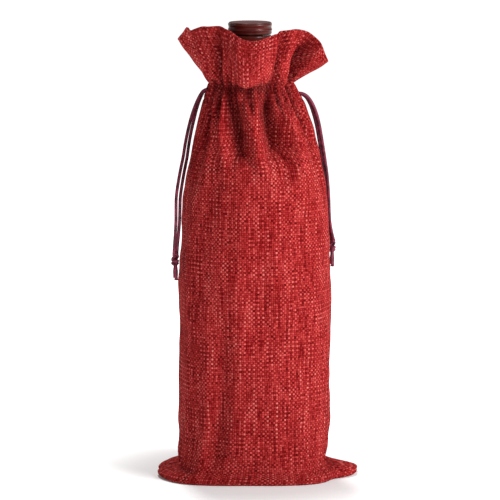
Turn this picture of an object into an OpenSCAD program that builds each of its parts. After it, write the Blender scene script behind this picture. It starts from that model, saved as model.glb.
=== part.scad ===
// Drawstring wine gift bag, cinched round the neck of a standing bottle.
// Millimetres. +Z is up, the front is towards -Y, and the origin is where
// the bottle's axis meets the surface that the bag stands on.

/* [Bag] */
// Thickness of one layer of the linen-look cloth
cloth = 0.9; // [0.7:0.1:1.1]
// Half the width of the bag round the bottle, seam to seam
body_reach = 51.5; // [50:0.5:54]
// Half the depth of the bag round the bottle, front to back
body_depth = 43.5; // [42:0.5:46]
// How far the slack cloth hangs to the right of the bottle's axis
body_lean = 3; // [0:0.5:4]
// Height at which the cloth begins to close in towards the neck
shoulder_height = 188; // [180:1:192]
// How far the left bottom corner stands out past the side of the bag
left_corner = 12.5; // [8:0.5:18]
// How far the right bottom corner stands out past the side of the bag
right_corner = 20.5; // [12:0.5:24]
// Height at which a bottom corner has drawn back into the side
corner_height = 13; // [8:1:18]

/* [Drawstring channel] */
// Height of the channel's lower row of stitches
channel_bottom = 256; // [250:1:258]
// Height of the channel between its two rows of stitches
channel_height = 11; // [10:0.5:14]
// Mean outer radius of the gathered channel
channel_radius = 26.5; // [26:0.5:29]
// Depth of the gathers, from the mean to a crest
gather_depth = 2.3; // [1:0.1:2.5]
// Number of gathers all round
gathers = 10; // [8:2:12]

/* [Frill] */
// Height of the frill's edge at the middle of the front
frill_height = 296; // [284:1:300]
// How far the frill's two highest waves rise above that
frill_rise = 8; // [2:1:10]
// How far the right corner of the frill droops
frill_droop = 14; // [0:1:18]
// Radius of the frill's edge at the front and back
frill_radius = 33; // [30:0.5:38]
// How much further out the frill's two side corners reach
frill_corner = 17; // [8:0.5:20]

/* [Drawstrings] */
// Diameter of a drawstring
cord_d = 2.2; // [1.8:0.1:2.4]
// Distance between the two strands of one drawstring
strand_gap = 2.6; // [2.5:0.1:3]
// Radius of a knot
knot_r = 3.1; // [2.9:0.1:3.2]
// Height of a knot
knot_h = 8; // [7:0.5:9]

/* [Bottle] */
// Diameter of the bottle's body
bottle_d = 76; // [73:0.5:76]
// Height of the bottle, with its closure
bottle_h = 305; // [300:1:310]
// Height of the bottle's straight side
bottle_side = 188; // [180:1:190]
// Thickness of the glass
glass_wall = 3.2; // [2.5:0.1:4]
// Height of the dent in the bottle's underside
punt_h = 20; // [10:1:25]
// Diameter of the glass neck
neck_d = 27.8; // [27:0.1:28]
// Diameter of the bore that the cork closes
bore_d = 18.6; // [18:0.1:19.5]
// Length of the cork
cork_h = 44; // [38:1:50]
// Length of the capsule over the neck and lip
capsule_h = 58; // [50:1:62]
// How far the bottle can rise before its shoulder meets the gathered cloth
bottle_lift = 10; // [0:1:20]

/* [Hidden] */

cloth_red = "#a8252b";
seam_red = "#7c161c";
thread_red = "#8e1f25";
cord_plum = "#5a1a28";
LEFT = -1;
RIGHT = 1;
FRONT = -1;
BACK = 1;

// Clearances: between pieces of one body, and between pieces that move
touch = 0.05;
running = 0.3;

seam_width = 1.6;                   // the two turned edges, side by side
seam_allowance = 9;                 // how far a side seam reaches into the bag
seam_room = 0.9;                    // between a side seam and the bottle, standing or lifted
channel_top = channel_bottom + channel_height;
channel_lean = body_lean / 2;
facing_radius = channel_radius - 8.3;
facing_gather = gather_depth / 2;
tunnel_radius = channel_radius - 4.3;
tunnel_width = cord_d + 1;
tunnel_wall = 2.2;                  // cloth above and below the tunnel
slit_half = 4.2;                    // half the gap in the channel at a side seam
bottle_floor = 2 * cloth + 1;       // the bottle stands on the bottom seam
bottle_r = bottle_d / 2;
neck_r = neck_d / 2;
lip_r = neck_r + 0.5;
lip_h = 7;
lip_z = bottle_h - lip_h;
bore_r = bore_d / 2;
foil = 0.3;
columns = 32;                       // steps round half of the bag

function mix(a, b, s) = a + (b - a) * s;
function clamp(s) = min(1, max(0, s));
function unit(v) = v / norm(v);

// ---- the cloth's shape ----

// 0 at the shoulder and below, 1 at the channel
function closing(z) = clamp((z - shoulder_height) / (channel_bottom - shoulder_height));
function lean_at(z) = mix(body_lean, channel_lean, closing(z));
function reach_at(z) = mix(body_reach, channel_radius, pow(closing(z), 1.25));
function depth_at(z) = mix(body_depth, channel_radius, pow(closing(z), 2));
function gather(t) = cos(gathers * t);
function gather_at(t, z) = 1 + gather_depth / channel_radius * pow(closing(z), 1.5) * gather(t);

// A bottom corner: broad and round on the left, pointed on the right
function corner(t, z) =
    sqrt(1 - pow(clamp(z / corner_height), 2))
    * (cos(t) < 0 ? left_corner * pow(-cos(t), 3) : right_corner * pow(cos(t), 7));

// A point of the bag's wall, t degrees round from +X, with a seam's gap at the sides.
// share runs from 0 at the middle of the base to 1 at the wall.
function wall_point(side, t, z, inset, share = 1) =
    let (
        corner_out = inset > 0 ? 0 : corner(t, z),
        a = (reach_at(z) - inset) * gather_at(t, z) + corner_out,
        b = (depth_at(z) - inset) * gather_at(t, z) - seam_width / 2,
        least = z <= cloth ? 0.3 : 0,
        y = seam_width / 2 + touch + share * max(least, b * abs(sin(t)))
    )
    [lean_at(z) + a * cos(t), side * y, z];

function half_turn(side) = [for (i = [0:columns]) side * 180 * i / columns];

base_shares = [0, 0.5];
wall_heights = concat(
    [for (i = [0:4]) corner_height * pow(i / 4, 1.2)],
    [for (i = [1:4]) mix(corner_height, shoulder_height, i / 4)],
    [for (i = [1:8]) mix(shoulder_height, channel_bottom, i / 8)]
);

function panel_rows(side, inset) = concat(
    [for (share = base_shares)
        [for (t = half_turn(side)) wall_point(side, t, inset, inset, share)]],
    [for (z = wall_heights)
        [for (t = half_turn(side)) wall_point(side, t, max(z, inset), inset)]]
);

// ---- closed solids from rows of points ----

function two_triangles(a, b, c, d, flip) =
    flip ? [[a, c, b], [a, d, c]] : [[a, b, c], [a, c, d]];

// A thin solid between two grids of points that face each other
module sheet(outer, inner, flip) {
    rows = len(outer);
    cols = len(outer[0]);
    last_row = rows - 1;
    last_col = cols - 1;
    function at(layer, r, c) = (layer * rows + r) * cols + c;
    function quad(layer, r, c, turned) = two_triangles(
        at(layer, r, c), at(layer, r + 1, c), at(layer, r + 1, c + 1), at(layer, r, c + 1), turned);
    function row_edge(r, turned) = [for (c = [0:last_col - 1]) each two_triangles(
        at(0, r, c), at(0, r, c + 1), at(1, r, c + 1), at(1, r, c), turned)];
    function col_edge(c, turned) = [for (r = [0:last_row - 1]) each two_triangles(
        at(0, r, c), at(0, r + 1, c), at(1, r + 1, c), at(1, r, c), turned)];
    polyhedron(
        points = [for (layer = [outer, inner]) for (row = layer) each row],
        faces = concat(
            [for (r = [0:last_row - 1]) for (c = [0:last_col - 1]) each quad(0, r, c, flip)],
            [for (r = [0:last_row - 1]) for (c = [0:last_col - 1]) each quad(1, r, c, !flip)],
            row_edge(0, flip),
            row_edge(last_row, !flip),
            col_edge(0, !flip),
            col_edge(last_col, flip)
        ),
        convexity = 10
    );
}

// A solid swept through closed rings of points, with flat ends
module swept(rings) {
    count = len(rings[0]);
    last = len(rings) - 1;
    polyhedron(
        points = [for (ring = rings) each ring],
        faces = concat(
            [[for (k = [count - 1:-1:0]) k]],
            [for (i = [0:last - 1]) for (k = [0:count - 1]) each two_triangles(
                i * count + k, i * count + (k + 1) % count,
                (i + 1) * count + (k + 1) % count, (i + 1) * count + k, false)],
            [[for (k = [0:count - 1]) last * count + k]]
        ),
        convexity = 10
    );
}

// ---- body of the bag ----

module panel(side) {
    color(cloth_red)
        sheet(panel_rows(side, 0), panel_rows(side, cloth), side == FRONT);
}

// Radius of the bottle's outline at a height above its own base
shoulder_arc = 26;
shoulder_turn = 70;
shoulder_in = bottle_r - shoulder_arc;
neck_arc = (shoulder_in + shoulder_arc * cos(shoulder_turn) - neck_r) / (1 - cos(shoulder_turn));
neck_z = bottle_side + (shoulder_arc + neck_arc) * sin(shoulder_turn);
function bottle_radius(z) =
    z <= bottle_side ? bottle_r
    : z <= bottle_side + shoulder_arc * sin(shoulder_turn)
        ? shoulder_in + sqrt(pow(shoulder_arc, 2) - pow(z - bottle_side, 2))
    : z <= neck_z ? neck_r + neck_arc - sqrt(pow(neck_arc, 2) - pow(z - neck_z, 2))
    : lip_r + foil;

// A side seam's inner edge keeps clear of the bottle, standing or lifted
function seam_outside(side, z) =
    wall_point(FRONT, side == LEFT ? 180 : 0, z, 0)[0];
function seam_inside(side, z) =
    side * max(
        abs(seam_outside(side, max(z, corner_height))) - seam_allowance,
        bottle_radius(z - bottle_floor - bottle_lift) + seam_room);

module side_seam(side) {
    outside = [for (z = wall_heights) [seam_outside(side, z), z]];
    inside = [for (i = [len(wall_heights) - 1:-1:0])
        [seam_inside(side, wall_heights[i]), wall_heights[i]]];
    color(seam_red)
        rotate([90, 0, 0])
            linear_extrude(seam_width, center = true)
                polygon(concat(outside, inside));
}

// The bottom seam: an upright edge with its allowance folded towards the back
bottom_left = seam_inside(LEFT, 0) + touch;
bottom_right = seam_inside(RIGHT, 0) - touch;
fold_width = 8;
module bottom_seam() {
    half = seam_width / 2;
    color(seam_red)
        translate([bottom_left, 0, 0])
            rotate([90, 0, 90])
                linear_extrude(bottom_right - bottom_left)
                    polygon([
                        [-half, 0], [half, 0], [half, cloth + touch], [fold_width, cloth + touch],
                        [fold_width, bottle_floor - running], [-half, bottle_floor - running]
                    ]);
}

// ---- stitches ----

stitch_length = 2;
stitch_width = 0.5;
stitch_pitch = 5;

module stitch() {
    cube([stitch_length, stitch_width, stitch_width], center = true);
}

// Stitches up the inside of a side seam, on the seam's front face
module side_stitching(side) {
    first = 20;
    rows = floor((channel_bottom - 10 - first) / stitch_pitch);
    color(thread_red)
        for (i = [0:rows]) {
            z = first + i * stitch_pitch;
            slope = atan2(seam_outside(side, z + 1) - seam_outside(side, z - 1), 2);
            translate([
                seam_outside(side, z) - side * (cloth + 1.2),
                -seam_width / 2 - stitch_width / 2 - touch,
                z
            ])
                rotate([0, slope - 90, 0])
                    stitch();
        }
}

module bottom_stitching() {
    margin = 3;
    count = floor((bottom_right - bottom_left - 2 * margin) / stitch_pitch);
    color(thread_red)
        for (i = [0:count])
            translate([
                bottom_left + margin + i * stitch_pitch,
                -seam_width / 2 - stitch_width / 2 - touch,
                cloth + stitch_width
            ])
                stitch();
}

// ---- drawstring channel ----

function channel_point(t, r, z) = [channel_lean + r * cos(t), r * sin(t), z];
function channel_out(t) = channel_radius + gather_depth * gather(t);
function channel_in(t) = facing_radius + facing_gather * gather(t);

// The casing's section at t: an outline, and the tunnel that the cords run in
function casing_outline(t) = let (mid = (channel_in(t) + channel_out(t)) / 2) [
    channel_point(t, channel_in(t), channel_bottom + touch),
    channel_point(t, mid, channel_bottom + touch),
    channel_point(t, channel_out(t), channel_bottom + touch),
    channel_point(t, channel_out(t), (channel_bottom + channel_top) / 2),
    channel_point(t, channel_out(t), channel_top),
    channel_point(t, mid, channel_top),
    channel_point(t, channel_in(t), channel_top),
    channel_point(t, channel_in(t), (channel_bottom + channel_top) / 2)
];
function casing_tunnel(t) =
    let (
        low = channel_bottom + tunnel_wall,
        high = channel_top - tunnel_wall,
        near = tunnel_radius - tunnel_width / 2,
        far = tunnel_radius + tunnel_width / 2
    )
    [
        channel_point(t, near, low), channel_point(t, tunnel_radius, low),
        channel_point(t, far, low), channel_point(t, far, (low + high) / 2),
        channel_point(t, far, high), channel_point(t, tunnel_radius, high),
        channel_point(t, near, high), channel_point(t, near, (low + high) / 2)
    ];

module channel(side) {
    start = asin(slit_half / channel_radius);
    turns = [for (i = [0:columns]) side * mix(start, 180 - start, i / columns)];
    rings = [for (t = turns) concat(casing_outline(t), casing_tunnel(t))];
    sides = 8;
    count = 2 * sides;
    last = len(rings) - 1;
    flip = side == FRONT;
    function at(i, k, tunnel) = i * count + (tunnel ? sides : 0) + k % sides;
    function wall(tunnel) = [for (i = [0:last - 1]) for (k = [0:sides - 1]) each two_triangles(
        at(i, k, tunnel), at(i, k + 1, tunnel),
        at(i + 1, k + 1, tunnel), at(i + 1, k, tunnel), tunnel != flip)];
    function cap(i, turned) = [for (k = [0:sides - 1]) each two_triangles(
        at(i, k, false), at(i, k + 1, false), at(i, k + 1, true), at(i, k, true), turned)];
    color(cloth_red)
        polyhedron(
            points = [for (ring = rings) each ring],
            faces = concat(wall(false), wall(true), cap(0, !flip), cap(last, flip)),
            convexity = 10
        );
}

// A row of stitches round the outside of the gathered channel
module channel_stitching(z) {
    count = 44;
    proud = stitch_width / 2 + 0.25;
    start = asin(slit_half / channel_radius) + 2;
    color(thread_red)
        for (side = [FRONT, BACK])
            for (i = [0.5:1:count / 2 - 0.5]) {
                t = side * mix(start, 180 - start, 2 * i / count);
                here = channel_point(t, channel_out(t), z);
                ahead = channel_point(t + 1, channel_out(t + 1), z) - here;
                heading = atan2(ahead[1], ahead[0]);
                translate(here + proud * [sin(heading), -cos(heading), 0])
                    rotate([0, 0, heading])
                        stitch();
            }
}

// ---- frill ----

frill_waves = 6;
frill_wave = 3.5;
frill_rows = 7;
function frill_edge_r(t) = frill_radius + frill_corner * pow(abs(cos(t)), 4);
function frill_edge_z(t) =
    frill_height + frill_rise * pow(sin(2 * t), 2) - frill_droop * pow(max(0, cos(t)), 3);
function frill_start(t) = (channel_in(t) + channel_out(t)) / 2;

// A point of the frill, s running from 0 at the channel to 1 at the edge
function frill_point(t, s, offset) =
    let (
        r = mix(frill_start(t), frill_edge_r(t) + frill_wave * cos(frill_waves * t), pow(s, 0.8)),
        z = mix(channel_top + touch, frill_edge_z(t), s),
        place = channel_point(t, r + offset, z),
        side = sin(t) < 0 ? FRONT : BACK
    )
    [place[0], side * max(abs(place[1]), touch), place[2]];

module frill(side) {
    turns = [for (i = [0:columns]) side * mix(0.2, 179.8, i / columns)];
    function rows(offset) = [for (j = [0:frill_rows])
        [for (t = turns) frill_point(t, j / frill_rows, offset)]];
    color(cloth_red)
        sheet(rows(cloth), rows(-cloth), side == FRONT);
}

// ---- drawstrings ----

// Each side's cord hangs along these points, from its exit to its knot
left_route = [
    [-28, 0, 263], [-31.2, 0, 261.3], [-34, -0.5, 256.4], [-36.6, -1, 249.6],
    [-38.7, -1.8, 242], [-40.5, -3, 234.2], [-42, -4.6, 226], [-43.2, -6.8, 217.6],
    [-44.9, -10.4, 209], [-46.4, -14.4, 200.6], [-47.6, -17, 191.8], [-47.9, -18.2, 183],
    [-48.2, -18.5, 175], [-48.8, -18.2, 167.4], [-49.5, -17.6, 160.2], [-50, -17, 153.6],
];
right_route = [
    [31, 0, 260], [34.5, 0, 259.7], [38, 0.5, 257.5], [41.2, 1, 252.5],
    [43.8, 1.5, 245.5], [45.8, 2.5, 237.5], [47.3, 4, 229], [48.7, 6, 220.5],
    [50, 9, 212], [51.2, 13, 203.5], [52, 16.5, 195], [52.6, 19, 186.5],
    [52.9, 20.3, 178.6], [53.3, 20.8, 171.2], [54.4, 20.4, 164], [56, 19.4, 157.4],
];
left_bow = -1.4;                    // the left front strand bows out above its knot
cord_sides = 8;

function heading_at(route, i) =
    unit(route[min(i + 1, len(route) - 1)] - route[max(i - 1, 0)]);

// Square to the cord and away from the bag
function outward_at(route, i) =
    -sign(route[0][0]) * unit(cross([0, 1, 0], heading_at(route, i)));

// One strand of a route. The two leave one behind the other, and soon hang side by side
// with the front one outside. It may bow out near its lower end
strand_turn = 50;
turned_at = 4;                      // the point of the route where they have turned
function strand_route(route, side, bow) =
    let (last = len(route) - 1)
    [for (i = [0:last])
        let (turn = strand_turn * min(1, i / turned_at))
        route[i] + [bow * pow(sin(180 * i / last), 2) * i / last, 0, 0]
            + side * strand_gap / 2 * (cos(turn) * [0, 1, 0] - sin(turn) * outward_at(route, i))];

function cord_ring(route, i, beside) =
    let (
        along = heading_at(route, i),
        across = unit(cross(along, beside)),
        up = cross(along, across)
    )
    [for (k = [0:cord_sides - 1])
        let (turn = 360 * k / cord_sides)
        route[i] + cord_d / 2 * (cos(turn) * across + sin(turn) * up)];

// A cord along a route that nowhere runs in the direction beside
module tube(route, beside) {
    swept([for (i = [0:len(route) - 1]) cord_ring(route, i, beside)]);
}

module strand(route, side, bow = 0) {
    color(cord_plum)
        tube(strand_route(route, side, bow), [0, 1, 0]);
}

// The stretch of a cord inside the channel: in by its own slit, all the way round, and out
loop_steps = 36;
loop_opening = 8;                   // half the angle at which it turns out through the slit
exit_room = cord_d / 2 + 0.1;       // for the strands to swing about the exit
function loop_route(side) =
    let (
        exit = (side == LEFT ? left_route[0] : right_route[0]) - [side * exit_room, 0, 0],
        first = side == LEFT ? FRONT : BACK,
        from = (side == LEFT ? 180 : 0) + loop_opening,
        round_neck = [for (i = [0:loop_steps])
            channel_point(from + (360 - 2 * loop_opening) * i / loop_steps, tunnel_radius, exit[2])]
    )
    concat(
        [[exit[0], first * strand_gap / 2, exit[2]]],
        round_neck,
        [[exit[0], -first * strand_gap / 2, exit[2]]]
    );

module drawstring_loop(side) {
    color(cord_plum)
        tube(loop_route(side), [0, 0, 1]);
}

function knot_centre(route) =
    let (end = route[len(route) - 1]) end - [0, 0, knot_h / 2 + running];

// The two strands tied together in one overhand knot
module knot(route) {
    turn = 22.5;
    color(cord_plum)
        translate(knot_centre(route))
            rotate_extrude($fn = 32)
                polygon([for (a = [-90:turn:90]) [knot_r * cos(a), knot_h / 2 * sin(a)]]);
}

// The two cut ends below the knot
tail_length = 10;
tail_splay = 14;
module tails(route) {
    color(cord_plum)
        translate(knot_centre(route) - [0, 0, knot_h / 2])
            for (side = [FRONT, BACK])
                translate([0, side * cord_d * 0.6, 0])
                    rotate([180 + side * tail_splay, 0, 0])
                        cylinder(h = tail_length, d = cord_d, $fn = 24);
}

// ---- bottle ----

function arc(centre, r, from, to, steps = 10) = [for (i = [0:steps])
    centre + r * [cos(mix(from, to, i / steps)), sin(mix(from, to, i / steps))]];

heel = 8;
foot_r = bottle_r - heel;
function glass_outline(inset) = concat(
    arc([foot_r, heel], heel - inset, -90, 0, 6),
    arc([shoulder_in, bottle_side], shoulder_arc - inset, 0, shoulder_turn),
    arc([neck_r + neck_arc, neck_z], neck_arc + inset, 180 + shoulder_turn, 180)
);

// The dent in the underside, seen from below or from inside the bottle
function punt(inset) = [
    [0, punt_h + inset], [foot_r * 0.35, punt_h * 0.9 + inset],
    [foot_r * 0.7, punt_h * 0.5 + inset]
];

module bottle_glass() {
    color("darkgreen")
        translate([0, 0, bottle_floor])
            rotate_extrude($fn = 96)
                difference() {
                    polygon(concat(
                        punt(0), glass_outline(0),
                        [[neck_r, lip_z], [lip_r, lip_z], [lip_r, bottle_h - foil], [0, bottle_h - foil]]
                    ));
                    inside_outline();
                }
}

// The hollow inside the glass
module inside_outline() {
    polygon(concat(
        punt(glass_wall),
        arc([foot_r, heel], heel - glass_wall, -90, 0, 6),
        arc([shoulder_in, bottle_side], shoulder_arc - glass_wall, 0, shoulder_turn),
        [[bore_r, neck_z], [bore_r, bottle_h], [0, bottle_h]]
    ));
}

fill_gap = 20;                      // air between the wine and the cork
module wine() {
    level = bottle_h - cork_h - fill_gap;
    color("#3a0812")
        translate([0, 0, bottle_floor])
            rotate_extrude($fn = 96)
                intersection() {
                    offset(delta = -touch) inside_outline();
                    square([bottle_r, level]);
                }
}

module cork() {
    color("burlywood")
        translate([0, 0, bottle_floor + bottle_h - foil - cork_h - touch])
            cylinder(h = cork_h, r = bore_r - touch, $fn = 64);
}

module capsule_skirt() {
    inner_neck = neck_r + touch;
    inner_lip = lip_r + touch;
    bottom = bottle_h - capsule_h;
    step = lip_z - 1;
    color("#4a0f18")
        translate([0, 0, bottle_floor])
            rotate_extrude($fn = 96)
                polygon([
                    [inner_neck, bottom], [inner_neck + foil, bottom], [inner_neck + foil, step - foil],
                    [inner_lip + foil, step], [inner_lip + foil, bottle_h - foil],
                    [inner_lip, bottle_h - foil], [inner_lip, step], [inner_neck, step]
                ]);
}

module capsule_top() {
    rim = lip_r + touch + foil;
    color("#5c1520")
        translate([0, 0, bottle_floor + bottle_h - foil + touch])
            cylinder(h = foil - touch, r = rim, $fn = 96);
}

panel(FRONT);  // front_panel
panel(BACK);  // back_panel
side_seam(LEFT);  // left_side_seam
side_seam(RIGHT);  // right_side_seam
bottom_seam();
side_stitching(LEFT);  // left_side_stitching
side_stitching(RIGHT);  // right_side_stitching
bottom_stitching();
channel(FRONT);  // front_channel
channel(BACK);  // back_channel
channel_stitching(channel_bottom + 1.2);  // lower_channel_stitching
channel_stitching(channel_top - 1.2);  // upper_channel_stitching
frill(FRONT);  // front_frill
frill(BACK);  // back_frill
drawstring_loop(LEFT);  // left_drawstring_loop
drawstring_loop(RIGHT);  // right_drawstring_loop
strand(left_route, FRONT, left_bow);  // left_front_strand
strand(left_route, BACK);  // left_rear_strand
knot(left_route);  // left_knot
tails(left_route);  // left_tails
strand(right_route, FRONT);  // right_front_strand
strand(right_route, BACK);  // right_rear_strand
knot(right_route);  // right_knot
tails(right_route);  // right_tails
bottle_glass();
wine();
cork();
capsule_skirt();
capsule_top();
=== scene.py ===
"""Looks of the drawstring wine gift bag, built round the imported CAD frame.

Metres, +Z up, the front towards -Y, +X to the viewer's right. The cloth is made
as two real pieces, front and back, each running from the bottom seam up the wall,
through the gathered channel and over the frill's fold to the hem inside.
"""
import math

import bpy
import numpy as np
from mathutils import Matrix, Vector, noise


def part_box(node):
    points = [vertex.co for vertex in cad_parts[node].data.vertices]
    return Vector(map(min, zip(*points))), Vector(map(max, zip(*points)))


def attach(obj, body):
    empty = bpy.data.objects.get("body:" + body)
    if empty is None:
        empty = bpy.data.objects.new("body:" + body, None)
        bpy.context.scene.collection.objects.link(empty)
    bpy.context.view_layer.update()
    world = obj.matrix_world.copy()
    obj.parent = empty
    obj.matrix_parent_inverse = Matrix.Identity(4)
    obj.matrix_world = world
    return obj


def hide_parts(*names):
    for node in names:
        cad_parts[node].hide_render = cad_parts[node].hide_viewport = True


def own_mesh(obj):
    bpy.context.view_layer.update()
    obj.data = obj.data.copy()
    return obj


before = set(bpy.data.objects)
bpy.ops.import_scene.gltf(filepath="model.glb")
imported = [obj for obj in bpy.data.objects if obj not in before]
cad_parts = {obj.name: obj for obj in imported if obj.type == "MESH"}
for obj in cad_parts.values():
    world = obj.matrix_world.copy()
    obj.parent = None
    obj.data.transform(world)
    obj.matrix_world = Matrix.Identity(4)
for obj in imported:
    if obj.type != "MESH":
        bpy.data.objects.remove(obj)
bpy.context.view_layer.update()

MM = 0.001
FRONT, BACK = -1, 1
LEFT, RIGHT = -1, 1

# ---- places taken from the frame ----

channel_low, channel_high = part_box("front_channel")
capsule_low, capsule_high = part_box("capsule_skirt")
CHANNEL_BOTTOM = channel_low.z
CHANNEL_TOP = channel_high.z
CHANNEL_X = (channel_low.x + channel_high.x) / 2


# ---- camera ----

def make_camera():
    """A long lens a little above the bag, as the product picture has it."""
    target = Vector((0, 0, 153.6 * MM))
    distance = 2.2
    elevation = math.radians(8.5)
    picture_width = 337.8 * MM
    sensor_width = 36
    camera = bpy.data.objects.new("camera", bpy.data.cameras.new("camera"))
    bpy.context.collection.objects.link(camera)
    back = Vector((0, -math.cos(elevation), math.sin(elevation)))
    camera.location = target + back * distance
    camera.rotation_mode = "QUATERNION"
    camera.rotation_quaternion = (-back).to_track_quat("-Z", "Y")
    camera.data.sensor_width = sensor_width
    camera.data.lens = sensor_width * distance / picture_width
    camera.data.clip_end = 40
    bpy.context.scene.camera = camera


make_camera()


# ---- mesh helpers ----

def mesh_object(name, vertices, faces, uvs=None, hollows=None):
    """A smooth-shaded mesh object from plain lists. uvs and the painted shade values hold one entry for each
    vertex; the shade goes to a point attribute that the cloth material darkens by.
    """
    mesh = bpy.data.meshes.new(name)
    mesh.from_pydata([tuple(v) for v in vertices], [], faces)
    mesh.polygons.foreach_set("use_smooth", [True] * len(mesh.polygons))
    if uvs is not None:
        layer = mesh.uv_layers.new(name="cloth")
        for loop in mesh.loops:
            layer.data[loop.index].uv = uvs[loop.vertex_index]
    if hollows is not None:
        mesh.attributes.new("hollow", "FLOAT", "POINT").data.foreach_set("value", hollows)
    mesh.update()
    piece = bpy.data.objects.new(name, mesh)
    bpy.context.collection.objects.link(piece)
    return piece


def grid_faces(rows, columns, flip=False, wrap=False):
    """Quads of a grid stored row by row. wrap joins the last column to the first."""
    faces = []
    for r in range(rows - 1):
        for c in range(columns if wrap else columns - 1):
            d = (c + 1) % columns
            quad = (r * columns + c, r * columns + d, (r + 1) * columns + d, (r + 1) * columns + c)
            faces.append(quad[::-1] if flip else quad)
    return faces


def smooth_route(points, step):
    """A Catmull-Rom curve through points, with a point about every step."""
    points = [Vector(p) for p in points]
    ends = [2 * points[0] - points[1], *points, 2 * points[-1] - points[-2]]
    route = []
    for a, b, c, d in zip(ends, ends[1:], ends[2:], ends[3:]):
        count = max(1, round((c - b).length / step))
        for k in range(count):
            s = k / count
            route.append(0.5 * (2 * b + (c - a) * s + (2 * a - 5 * b + 4 * c - d) * s * s
                                + (3 * b - a - 3 * c + d) * s ** 3))
    return [*route, points[-1]]


def tube_rings(route, radius, sides, start_normal=Vector((0, 1, 0))):
    """Rings of a round tube along a route, carried along without twisting. radius may vary."""
    rings = []
    normal = start_normal
    last = len(route) - 1
    for i, place in enumerate(route):
        along = (route[min(i + 1, last)] - route[max(i - 1, 0)]).normalized()
        normal = (normal - along * normal.dot(along)).normalized()
        across = along.cross(normal)
        r = radius(i / last) if callable(radius) else radius
        rings.append([place + r * (math.cos(a) * normal + math.sin(a) * across)
                      for a in (2 * math.pi * k / sides for k in range(sides))])
    return rings


def tube(name, route, radius, sides=16, cap_ends=True):
    """A closed round tube whose UV runs along and round it, in metres."""
    rings = tube_rings(route, radius, sides)
    vertices = [v for ring in rings for v in ring]
    faces = grid_faces(len(rings), sides, wrap=True)
    lengths = [0.0]
    for a, b in zip(route, route[1:]):
        lengths.append(lengths[-1] + (b - a).length)
    girth = 2 * math.pi * (radius(0.5) if callable(radius) else radius)
    uvs = [(lengths[i], girth * k / sides) for i in range(len(rings)) for k in range(sides)]
    if cap_ends:
        for i, ring_start in ((0, 0), (-1, (len(rings) - 1) * sides)):
            vertices.append(sum(rings[i], Vector()) / sides)
            uvs.append((lengths[i], 0))
            centre = len(vertices) - 1
            for k in range(sides):
                edge = (ring_start + k, ring_start + (k + 1) % sides)
                faces.append((centre, *(edge[::-1] if i == 0 else edge)))
    return mesh_object(name, vertices, faces, uvs)


def joined(name, parts):
    """One object from several, in order."""
    vertices, faces, uvs = [], [], []
    for part in parts:
        start = len(vertices)
        vertices += [v.co.copy() for v in part.data.vertices]
        faces += [tuple(start + i for i in p.vertices) for p in part.data.polygons]
        own = [(0, 0)] * len(part.data.vertices)
        if part.data.uv_layers:
            for loop in part.data.loops:
                own[loop.vertex_index] = tuple(part.data.uv_layers[0].data[loop.index].uv)
        uvs += own
        bpy.data.objects.remove(part)
    return mesh_object(name, vertices, faces, uvs)


# ---- materials ----

class Shader:
    """Short names for building a node material."""

    def __init__(self, name):
        self.material = bpy.data.materials.new(name)
        self.material.use_nodes = True
        self.nodes = self.material.node_tree.nodes
        self.links = self.material.node_tree.links
        self.surface = self.nodes["Principled BSDF"]

    def put(self, socket, value):
        if isinstance(value, bpy.types.NodeSocket):
            self.links.new(value, socket)
        else:
            socket.default_value = value

    def math(self, operation, a, b=0.0):
        node = self.nodes.new("ShaderNodeMath")
        node.operation = operation
        self.put(node.inputs[0], a)
        self.put(node.inputs[1], b)
        return node.outputs[0]

    def mix(self, share, a, b):
        node = self.nodes.new("ShaderNodeMix")
        self.put(node.inputs[0], share)
        self.put(node.inputs[2], a)
        self.put(node.inputs[3], b)
        return node.outputs[0]

    def mix_colour(self, share, a, b, blend="MIX"):
        node = self.nodes.new("ShaderNodeMix")
        node.data_type = "RGBA"
        node.blend_type = blend
        self.put(node.inputs[0], share)
        self.put(node.inputs[6], a)
        self.put(node.inputs[7], b)
        return node.outputs[2]

    def vector(self, x, y, z=0.0):
        node = self.nodes.new("ShaderNodeCombineXYZ")
        for socket, value in zip(node.inputs, (x, y, z)):
            self.put(socket, value)
        return node.outputs[0]

    def uv(self):
        split = self.nodes.new("ShaderNodeSeparateXYZ")
        self.links.new(self.nodes.new("ShaderNodeUVMap").outputs[0], split.inputs[0])
        return split.outputs[0], split.outputs[1]

    def place(self):
        return self.nodes.new("ShaderNodeTexCoord").outputs["Object"]

    def attribute(self, name):
        node = self.nodes.new("ShaderNodeAttribute")
        node.attribute_name = name
        return node.outputs["Fac"]

    def noise(self, where, scale, detail=2.0, roughness=0.5):
        node = self.nodes.new("ShaderNodeTexNoise")
        self.put(node.inputs["Vector"], where)
        node.inputs["Scale"].default_value = scale
        node.inputs["Detail"].default_value = detail
        node.inputs["Roughness"].default_value = roughness
        return node.outputs[0]

    def ramp(self, share, stops):
        node = self.nodes.new("ShaderNodeValToRGB")
        elements = node.color_ramp.elements
        while len(elements) < len(stops):
            elements.new(0.5)
        for element, (at, colour) in zip(elements, stops):
            element.position = at
            element.color = (*colour, 1)
        self.put(node.inputs[0], share)
        return node.outputs[0]

    def bump(self, height, distance, strength=1.0):
        node = self.nodes.new("ShaderNodeBump")
        node.inputs["Strength"].default_value = strength
        node.inputs["Distance"].default_value = distance
        self.put(node.inputs["Height"], height)
        self.put(self.surface.inputs["Normal"], node.outputs[0])

    def set(self, **values):
        for name, value in values.items():
            self.put(self.surface.inputs[name.replace("_", " ")], value)
        return self.material


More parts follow.
